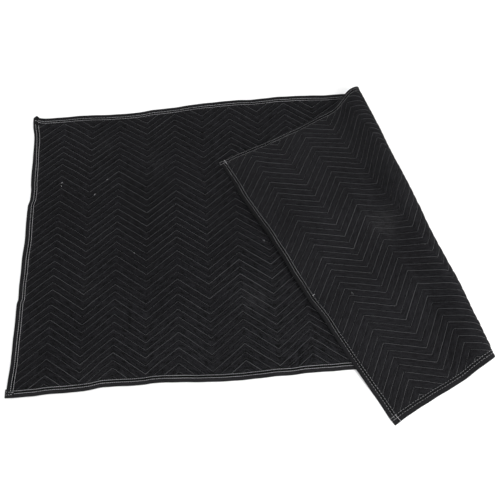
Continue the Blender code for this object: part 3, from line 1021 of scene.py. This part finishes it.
# pointOn(inset, along) gives the flat point; short strips reach over the corners, long ones tuck under
def buildTape(name, node, span, pointOn, isShort):
    profile = tapeProfile()
    stations = tapeStations(name, span)
    lines = [tapeLine(name, span, pointOn, isShort, stations, inset, level) for inset, level in profile]
    points, flat = (np.stack(part, 1) for part in zip(*lines))
    many, around = points.shape[:2]
    index = np.arange(many * around).reshape(many, around)
    here, there = index[:-1], index[1:]
    quads = np.stack([here, np.roll(here, -1, 1), np.roll(there, -1, 1), there], -1).reshape(-1, 4).tolist()
    ends = endFaces(around)
    quads += [[int(index[0][k]) for k in reversed(face)] for face in ends]
    quads += [[int(index[-1][k]) for k in face] for face in ends]
    piece = meshPiece(name, points.reshape(-1, 3), quads, tapeMaterial, flat.reshape(-1, 2))
    fixNormals(piece)
    addAmount(piece.data, "backSide", np.tile([float(level < 0) for _, level in profile], many))
    dustAndShadeAmounts = [dustAndShadeOnTape(name, inset, level, stations) for inset, level in profile]
    addAmount(piece.data, "dustAndShade", np.stack(dustAndShadeAmounts, 1).ravel())
    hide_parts(node)
    return piece


# The open end of a U-shaped strip, closed by fans from the three inner points of each wall to its outer line;
# a fan passes on to the next inner point where it turns
def endFaces(around):
    outerCount = around - 6
    half = outerCount // 2
    first, second = tape["fanTurns"]
    top = [around - 1, around - 2, around - 3]
    bottom = [around - 6, around - 5, around - 4]

    def centre(inner, k):
        return inner[0] if k <= first else inner[1] if k <= second else inner[2]

    faces = [[k, k + 1, centre(top, k + 1)] for k in range(half)]
    faces += [[first, top[1], top[0]], [second, top[2], top[1]]]
    faces += [[k, k + 1, centre(bottom, outerCount - 1 - k)] for k in range(half, outerCount - 1)]
    faces += [[outerCount - 1 - first, *bottom[:2]], [outerCount - 1 - second, *bottom[1:]]]
    faces.append([half, bottom[2], top[2]])
    return faces


def fixNormals(piece):
    bm = bmesh.new()
    bm.from_mesh(piece.data)
    bmesh.ops.recalc_face_normals(bm, faces=bm.faces[:])
    bm.to_mesh(piece.data)
    bm.free()


tapeMaterial = clothMaterial("blackBindingTape", tapeLook)
length, width = cloth["length"], cloth["width"]
tapes = [
    buildTape("nearTape", "binding_near", length, lambda inset, on: (on, inset), False),
    buildTape("farTape", "binding_far", length, lambda inset, on: (on, width - inset), False),
    buildTape("leftTape", "binding_left", width, lambda inset, on: (inset, on), True),
    buildTape("freeEndTape", "binding_free_end", width, lambda inset, on: (length - inset, on), True),
]
print("binding tape:", [len(piece.data.polygons) for piece in tapes])

# Stitches, set along the sewn lines by Geometry Nodes


def stitchTree():
    tree = bpy.data.node_groups.new("stitchesAlongLines", "GeometryNodeTree")
    numbers = ("Pitch", "Stitch Length", "Thread Width", "Thread Height", "Sink", "Fading", "Fading Size")
    sockets = [("Lines", "Geometry"), *((label, "Float") for label in numbers)]
    sockets += [("Sides", "Int"), ("Seed", "Int"), ("Thread", "Material")]
    for label, kind in sockets:
        tree.interface.new_socket(label, in_out="INPUT", socket_type="NodeSocket" + kind)
    tree.interface.new_socket("Stitches", in_out="OUTPUT", socket_type="NodeSocketGeometry")
    given = nodeIn(tree, "NodeGroupInput", (-1200, 0)).outputs

    def shapeNode(kind, place, inputs, **settings):
        return nodeIn(tree, "GeometryNode" + kind, place, inputs, **settings).outputs[0]

    def randomShare(place, least, most, seed):
        inputs = {2: least, 3: most, "Seed": seed}
        return nodeIn(tree, "FunctionNodeRandomValue", place, inputs, data_type="FLOAT").outputs[1]

    curve = shapeNode("MeshToCurve", (-1000, 200), {"Mesh": given["Lines"]})
    everyPitch = {"Curve": curve, "Length": given["Pitch"]}
    spaced = shapeNode("ResampleCurve", (-800, 200), everyPitch, mode="LENGTH")
    upway = shapeNode("InputNamedAttribute", (-1000, -100), {"Name": "upway"}, data_type="FLOAT_VECTOR")
    weight = shapeNode("InputNamedAttribute", (-340, -760), {"Name": "weight"}, data_type="FLOAT")
    axes = {0: shapeNode("InputTangent", (-1000, -280), {}), 1: upway}
    aligned = {"primary_axis": "X", "secondary_axis": "Z"}
    turn = nodeIn(tree, "FunctionNodeAxesToRotation", (-700, -160), axes, **aligned)

    # how deep each stitch sits, and how thin the thread shows in faded places
    depth = randomShare((-700, -420), 0.0, 1.0, given["Seed"])
    sunk = mathNode(tree, "MULTIPLY", (-500, -420), depth, given["Sink"])
    down = mathNode(tree, "MULTIPLY", (-360, -420), sunk, -1.0)
    offset = vectorNode(tree, "SCALE", (-200, -300), {0: upway, "Scale": down})
    points = shapeNode("SetPosition", (0, 200), {"Geometry": spaced, "Offset": offset})
    cloud = noiseNode(tree, (-700, -640), scale=given["Fading Size"], detail=2.0)
    spread = mapped(tree, (-500, -640), cloud.outputs["Fac"], 0.36, 0.64, 1.0, 0.0)
    faded = mathNode(tree, "MULTIPLY", (-340, -640), spread, given["Fading"])
    left = mathNode(tree, "SUBTRACT", (-260, -640), 1.0, faded)
    thin = mathNode(tree, "MULTIPLY", (-140, -640), left, weight)
    wide = mathNode(tree, "MULTIPLY", (-40, -560), given["Thread Width"], thin)
    tall = mathNode(tree, "MULTIPLY", (-40, -720), given["Thread Height"], thin)
    nextSeed = mathNode(tree, "ADD", (-500, -900), given["Seed"], 1)
    jitter = randomShare((-340, -860), 0.82, 1.08, nextSeed)
    reach = mathNode(tree, "MULTIPLY", (-40, -880), given["Stitch Length"], jitter)
    size = nodeIn(tree, "ShaderNodeCombineXYZ", (140, -640), {0: reach, 1: wide, 2: tall})

    bead = shapeNode("MeshUVSphere", (-200, 460), {"Segments": given["Sides"], "Rings": 3, "Radius": 0.5})
    lying = shapeNode("Transform", (0, 460), {"Geometry": bead, "Rotation": (0.0, math.pi / 2, 0.0)})
    stitch = {"Points": points, "Instance": lying, "Rotation": turn.outputs[0], "Scale": size.outputs[0]}
    placed = shapeNode("InstanceOnPoints", (320, 200), stitch)
    real = shapeNode("RealizeInstances", (560, 200), {"Geometry": placed})
    soft = shapeNode("SetShadeSmooth", (760, 200), {"Geometry": real})
    dressed = shapeNode("SetMaterial", (960, 200), {"Geometry": soft, "Material": given["Thread"]})
    return giveOut(tree, {"Stitches": dressed}, (1160, 0))


stitchNodes = stitchTree()


# Sews along a list of flat lines; each is (x, y, side, weight), with heightAt giving the cloth's surface
def sew(name, lines, heightAt, settings, material):
    points, ups, weights, edges = [], [], [], []
    count = 0
    for x, y, side, weight in lines:
        height = heightAt(x, y, side) + settings["proud"]
        placed, up = foldCloth(x, y, side * height)
        points.append(placed)
        ups.append(up * side)
        weights.append(np.broadcast_to(weight, x.shape))
        edges += [(count + k, count + k + 1) for k in range(len(x) - 1)]
        count += len(x)
    mesh = bpy.data.meshes.new(name + "Lines")
    mesh.from_pydata(np.concatenate(points).tolist(), edges, [])
    upway = mesh.attributes.new("upway", "FLOAT_VECTOR", "POINT")
    upway.data.foreach_set("vector", np.concatenate(ups).astype(np.float32).ravel())
    addAmount(mesh, "weight", np.concatenate(weights))
    carrier = addToScene(name + "Lines", mesh)
    modifier = carrier.modifiers.new("stitches", "NODES")
    modifier.node_group = stitchNodes
    sockets = stitchNodes.interface.items_tree
    names = {socket.name: socket.identifier for socket in sockets if socket.in_out == "INPUT"}
    for label, value in {**settings["nodes"], "Thread": material}.items():
        modifier[names[label]] = value
    evaluated = carrier.evaluated_get(bpy.context.evaluated_depsgraph_get())
    made = bpy.data.meshes.new_from_object(evaluated)
    made.name = name
    carrier.modifiers.remove(modifier)
    bpy.data.objects.remove(carrier)
    for label in [layer.name for layer in made.attributes if layer.name in ("upway", "weight")]:
        made.attributes.remove(made.attributes[label])
    piece = addToScene(name, made)
    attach(piece, "root")
    print(name + ":", len(made.polygons), "faces")
    return piece


# How strongly the quilting thread stands out, from the near edge to the far part
def shown(x, y, side):
    near, far = panel["faceThread"] if side > 0 else panel["backThread"]
    strength = near + (far - near) * ramp(y, *panel["threadFade"])
    nearFreeEnd = ramp(x, *panel["freeFadeX"]) * ramp(y, *panel["freeFadeY"])
    return strength * (1 - panel["freeFade"] * nearFreeEnd * (side < 0))


# How the quilting lines run: their room beside the tape, their wobble, and how unlike each other they look
quilting = {
    "fromTape": 0.0005,
    "stepsPerSlant": 20,
    "fewestPoints": 3,
    "wobble": 0.0005,
    "wobbleSize": 0.019,
    "lineByLine": 0.30,
    "alongLine": 0.16,
    "alongSize": 0.09,
}


# Every zigzag line between the tapes, on one side of the cloth
def quiltLines(side):
    inset = tape["width"] + quilting["fromTape"]
    gap, period = panel["lineGap"], panel["period"]
    step = period / 2 / quilting["stepsPerSlant"]
    xs = panel["firstPeak"] - period + step * np.arange(math.ceil((cloth["length"] + period) / step))
    xs = xs[(xs > inset) & (xs < cloth["length"] - inset)]
    first = -math.ceil((cloth["width"] - panel["firstLineY"] + panel["zigzagHeight"]) / gap)
    last = int(panel["firstLineY"] / gap)
    lines = []
    for k in range(first, last + 1):
        ys = panel["firstLineY"] - k * gap - zigzagDip(xs)
        free = (ys > inset) & (ys < cloth["width"] - placedInset(inset, xs, side))
        for run in np.split(np.arange(len(xs)), np.flatnonzero(free[1:] != free[:-1]) + 1):
            if not free[run[0]] or len(run) < quilting["fewestPoints"]:
                continue
            x, y = xs[run], ys[run]
            wobble = quilting["wobble"] * uneven(x, y * 0 + k, quilting["wobbleSize"], k)
            strength = 1 + quilting["lineByLine"] * math.sin(2.9 * k + 1.1 * side)
            strength = strength + quilting["alongLine"] * uneven(x, y * 0, quilting["alongSize"], k)
            lines.append((x, y + wobble, side, strength * shown(x, y, side)))
    return lines


quiltThread = {
    "proud": 0.0002,
    "nodes": {
        "Pitch": 0.0064, "Stitch Length": 0.0152, "Thread Width": 0.00074, "Thread Height": 0.0009,
        "Sink": 0.00008, "Fading": 0.25, "Fading Size": 5.0, "Sides": 3, "Seed": 11,
    },
    "look": {
        "dull": (0.107, 0.107, 0.113), "bright": (0.168, 0.167, 0.175), "fleck": (0.25, 0.25, 0.258),
        "fleckSize": 500.0, "patchSize": 4.0, "roughness": 0.7, "specular": 0.25,
    },
    "backLook": {
        "dull": (0.135, 0.135, 0.142), "bright": (0.206, 0.205, 0.214), "fleck": (0.31, 0.31, 0.32),
        "fleckSize": 500.0, "patchSize": 4.0, "roughness": 0.7, "specular": 0.25,
    },
}
faceMaterial = threadMaterial("darkQuiltThread", quiltThread["look"])
backMaterial = threadMaterial("greyQuiltThread", quiltThread["backLook"])
faceThread = sew("faceQuiltThread", quiltLines(1), quiltHeight, quiltThread, faceMaterial)
backThread = sew("backQuiltThread", quiltLines(-1), quiltHeight, quiltThread, backMaterial)


# A straight row of stitches from one flat point to another, on the face (1) or the back (-1) of the cloth,
# with the thread's weight at its start and its end
def row(start, end, side, weights=(1.0, 1.0), step=0.004):
    many = max(2, int(math.dist(start, end) / step) + 1)
    x, y = np.linspace(start, end, many).T
    return x, y, side, np.linspace(*weights, many)


# A row beside the far edge keeps its nominal inset, wherever the strip is narrow or wide
def farRow(inset, start, stop, side, weights=(1.0, 1.0), step=0.004):
    x, y, side, weight = row((start, 0), (stop, 0), side, weights, step)
    return x, width - placedInset(inset, x, side), side, weight


# Where the rows of stitches begin and end, in from the edges that they run up to
rowEnds = {
    "fine": 0.002,
    "apart": (0.0, 0.0006),
    "pastSquare": 0.001,
    "farSquare": 0.0095,
    "farStart": 0.0225,
    "underShort": 0.0230,
    "atEdge": 0.0012,
    "backNear": 0.0240,
    "backFar": 0.0180,
    "corner": 0.0215,
    "innerStart": 0.0210,
    "nearRunOut": 0.0010,
    "farRunOut": 0.0015,
    "backFrom": 1.35,
    "leftStart": (0.0225, 0.0165),
    "leftStop": 0.9760,
    "leftWeight": 1.05,
    "leftFade": (0.25, 0.0),
    "leftFadeAlong": (0.86, 0.08),
    "freeMiddle": 0.30,
    "beforeKnot": 0.004,
    "knotStart": 0.005,
    "knotStop": 0.0025,
}

# The thread's weight at the start and at the end of a row
rowWeights = {
    "farFace": (0.93, 0.90),
    "farSquare": (0.95, 1.1),
    "farBack": (0.56, 0.52),
    "farRunOut": (0.9, 1.0),
    "nearBack": ((0.92, 0.92), (0.86, 0.86)),
    "nearRunOut": (1.15, 1.25),
    "outerNearPart": (1.25, 0.72),
    "outerFarPart": (0.56, 0.56),
    "innerNearPart": (1.22, 0.90),
    "innerFarPart": (0.66, 0.74),
    "nearKnot": (0.7, 1.0),
    "farKnot": (0.75, 0.9),
}

# Two fainter rows across the folded square at the near left: from, to, weights
squareRows = [
    ((0.0020, 0.0180), (0.0175, 0.0165), (0.75, 0.75)),
    ((0.0020, 0.0088), (0.0165, 0.0102), (0.75, 0.95)),
]


def leftRow(number):
    inset = tape["rows"][number]
    x, y, side, weight = row((inset, rowEnds["leftStart"][number]), (inset, rowEnds["leftStop"]), 1)
    fade = 1 - rowEnds["leftFade"][number] * ramp(y, *rowEnds["leftFadeAlong"])
    return x + along(leftWander, number + 1, y), y, side, weight * rowEnds["leftWeight"] * fade


# The two rows on each strip, and how they end in the corners. At the left the corners are folded squares; at
# the free end the long strips' rows run out to the edge, and the inner short row crosses them
def bindingRows():
    outer, inner = tape["rows"]
    weights, fine = rowWeights, rowEnds["fine"]
    atEdge, middle = rowEnds["atEdge"], rowEnds["freeMiddle"]
    cornerX, longEnd = length - rowEnds["corner"], length - rowEnds["underShort"]
    outerX, innerX = length - outer, length - inner
    nearRunOut, farRunOut = length - rowEnds["nearRunOut"], length - rowEnds["farRunOut"]
    farOuter, farInner = (width - float(placedInset(inset, length, -1)) for inset in (outer, inner))
    knotStart, knotStop = farInner - rowEnds["knotStart"], farOuter + rowEnds["knotStop"]
    plain, thin, dotted, thick = [], [], [], []
    for inset, apart, nearWeights in zip((outer, inner), rowEnds["apart"], weights["nearBack"]):
        nearInset, farInset, freeX = inset + tape["nearBackShift"], inset + apart, length - inset
        plain.append(row((tape["cornerSquare"] + rowEnds["pastSquare"], inset), (longEnd, inset), 1))
        plain.append(farRow(farInset, rowEnds["farStart"], longEnd, 1, weights["farFace"]))
        plain.append(row((freeX, atEdge), (freeX, width - atEdge), 1))
        thin.append(row((inset, rowEnds["backNear"]), (inset, width - rowEnds["backFar"]), -1))
        dotted.append(row((rowEnds["backFrom"], nearInset), (cornerX, nearInset), -1, nearWeights))
        thin.append(farRow(farInset, atEdge, cornerX, -1, weights["farBack"]))
        thin.append(row((cornerX, nearInset), (nearRunOut, nearInset), -1, weights["nearRunOut"], fine))
        thin.append(farRow(farInset, cornerX, farRunOut, -1, weights["farRunOut"], fine))
    plain += [row(start, end, 1, ends, fine) for start, end, ends in squareRows]
    plain += [leftRow(0), leftRow(1)]
    innerStop = farInner - rowEnds["beforeKnot"]
    dotted.append(row((outerX, inner), (outerX, middle), -1, weights["outerNearPart"]))
    thin.append(row((outerX, middle), (outerX, farInner), -1, weights["outerFarPart"]))
    dotted.append(row((innerX, rowEnds["innerStart"]), (innerX, middle), -1, weights["innerNearPart"]))
    thin.append(row((innerX, middle), (innerX, innerStop), -1, weights["innerFarPart"]))
    thick.append(row((innerX, atEdge), (innerX, rowEnds["corner"]), -1, weights["nearKnot"], fine))
    thick.append(row((innerX, knotStart), (innerX, knotStop), -1, weights["farKnot"], fine))
    plain.append(farRow(inner, rowEnds["farSquare"], rowEnds["farStart"], 1, weights["farSquare"], fine))
    return plain, thin, dotted, thick


# Loose thread on the cloth, bright knots and cut tails: x, y, length, way it points in degrees, side, weight
looseThreads = [
    (0.109, 0.731, 0.0034, 20, 1, 0.95),
    (0.109, 0.716, 0.0030, 100, 1, 0.75),
    (0.268, 0.729, 0.0034, 30, 1, 0.95),
    (0.227, 0.671, 0.0034, 60, 1, 1.00),
    (0.368, 0.437, 0.0020, 330, 1, 0.50),
    (0.794, 0.443, 0.0030, 310, 1, 0.55),
    (1.705, 0.384, 0.0050, 250, -1, 0.35),
    (1.8085, 0.4385, 0.0060, 172, -1, 0.80),
]


def looseLines():
    lines = []
    for x, y, span, way, side, weight in looseThreads:
        turn = math.radians(way)
        end = (x + span * math.cos(turn), y + span * math.sin(turn))
        lines.append(row((x, y), end, side, (weight, weight), rowEnds["fine"]))
    return lines


# The highest surface there is, tape or panel, for thread that may lie on either
def topSurface(x, y, side):
    onTape = edgeDistance(x, y, side) < tape["width"]
    return np.where(onTape, bindingTop(x, y, side), quiltHeight(x, y, side))


rowThread = {
    "proud": 0.0003,
    "nodes": {
        "Pitch": 0.0060, "Stitch Length": 0.0064, "Thread Width": 0.0011, "Thread Height": 0.0010,
        "Sink": 0.00018, "Fading": 0.15, "Fading Size": 7.0, "Sides": 5, "Seed": 23,
    },
    "look": {
        "dull": (0.41, 0.408, 0.426), "bright": (0.58, 0.577, 0.603), "fleck": (0.75, 0.75, 0.77),
        "fleckSize": 700.0, "patchSize": 6.0, "roughness": 0.6, "specular": 0.3,
    },
}
bobbinThread = {
    "proud": 0.0003,
    "nodes": {
        "Pitch": 0.0064, "Stitch Length": 0.0082, "Thread Width": 0.00088, "Thread Height": 0.0009,
        "Sink": 0.00018, "Fading": 0.20, "Fading Size": 9.0, "Sides": 5, "Seed": 37,
    },
    "look": {
        "dull": (0.30, 0.298, 0.312), "bright": (0.44, 0.437, 0.456), "fleck": (0.60, 0.60, 0.62),
        "fleckSize": 600.0, "patchSize": 8.0, "roughness": 0.6, "specular": 0.3,
    },
}
dottedThread = {
    "proud": 0.0004,
    "nodes": {
        "Pitch": 0.0086, "Stitch Length": 0.0066, "Thread Width": 0.0010, "Thread Height": 0.0010,
        "Sink": 0.00018, "Fading": 0.15, "Fading Size": 9.0, "Sides": 5, "Seed": 43,
    },
    "look": bobbinThread["look"],
}
thickThread = {
    "proud": 0.0004,
    "nodes": {
        "Pitch": 0.0030, "Stitch Length": 0.0050, "Thread Width": 0.0013, "Thread Height": 0.0012,
        "Sink": 0.00010, "Fading": 0.10, "Fading Size": 30.0, "Sides": 5, "Seed": 51,
    },
    "look": {
        "dull": (0.55, 0.547, 0.57), "bright": (0.72, 0.717, 0.745), "fleck": (0.80, 0.80, 0.82),
        "fleckSize": 700.0, "patchSize": 20.0, "roughness": 0.6, "specular": 0.3,
    },
}
rowMaterial = threadMaterial("paleRowThread", rowThread["look"])
bobbinMaterial = threadMaterial("thinRowThread", bobbinThread["look"])
thickMaterial = threadMaterial("whiteKnotThread", thickThread["look"])
plainRows, thinRows, dottedRows, thickRows = bindingRows()
rowPieces = [
    sew("faceTapeThread", plainRows, bindingTop, rowThread, rowMaterial),
    sew("thinTapeThread", thinRows, bindingTop, bobbinThread, bobbinMaterial),
    sew("dottedTapeThread", dottedRows, bindingTop, dottedThread, bobbinMaterial),
    sew("knotsAndTails", thickRows + looseLines(), topSurface, thickThread, thickMaterial),
]

# Floor, lights and camera

studio = {
    "floorSize": 14.0,
    "floorLevel": -0.0012,
    "floorShade": (0.93, 0.93, 0.93),
    "floorLook": {"roughness": 0.9, "specular": 0.1},
    "skyStrength": 0.95,
    "lights": (
        ("keyLight", (1.5, -1.7, 1.7), 1.6, 50.0),
        ("farLight", (-0.6, 2.2, 2.6), 2.6, 20.0),
    ),
}


def buildFloor():
    half, level = studio["floorSize"] / 2, studio["floorLevel"]
    corners = [(-half, -half, level), (half, -half, level), (half, half, level), (-half, half, level)]
    mesh = bpy.data.meshes.new("floor")
    mesh.from_pydata(corners, [], [(0, 1, 2, 3)])
    material, _, shader = startMaterial("paleFloor", studio["floorLook"])
    shader.inputs["Base Color"].default_value = (*studio["floorShade"], 1)
    mesh.materials.append(material)
    floor = addToScene("floor", mesh)


# Each light looks at the middle of the pad
def addLight(name, place, size, power):
    lamp = bpy.data.lights.new(name, "AREA")
    lamp.shape = "SQUARE"
    lamp.size = size
    lamp.energy = power
    light = addToScene(name, lamp)
    light.location = place
    light.rotation_euler = (-Vector(place)).to_track_quat("-Z", "Y").to_euler()


def buildSky():
    world = bpy.data.worlds.new("studioSky")
    scene.world = world
    world.use_nodes = True
    sky = world.node_tree.nodes["Background"]
    sky.inputs[0].default_value = (1, 1, 1, 1)
    sky.inputs[1].default_value = studio["skyStrength"]


# The camera was fitted to the corner points of the zigzag in the picture; its angles are in degrees
view = {
    "place": (0.07695, -0.76413, 1.65254),
    "below": 65.61,
    "heading": -2.73,
    "roll": -7.42,
    "lens": 40.149,
    "sensor": 36.0,
    "clip": (0.05, 60.0),
}


def buildCamera():
    below, heading, roll = (math.radians(view[key]) for key in ("below", "heading", "roll"))
    across = math.cos(below)
    forward = Vector((math.sin(heading) * across, math.cos(heading) * across, -math.sin(below)))
    right = Vector((math.cos(heading), -math.sin(heading), 0))
    up = right.cross(forward)
    rolledRight = right * math.cos(roll) + up * math.sin(roll)
    rolledUp = up * math.cos(roll) - right * math.sin(roll)
    lens = bpy.data.cameras.new("camera")
    lens.sensor_width = view["sensor"]
    lens.lens = view["lens"]
    lens.clip_start, lens.clip_end = view["clip"]
    camera = addToScene("camera", lens)
    turn = Matrix((rolledRight, rolledUp, -forward)).transposed()
    camera.matrix_world = Matrix.Translation(view["place"]) @ turn.to_4x4()
    scene.camera = camera


buildFloor()
buildSky()
for name, place, size, power in studio["lights"]:
    addLight(name, place, size, power)
buildCamera()
scene.view_settings.view_transform = "Standard"
print("floor, lights and camera are in place")
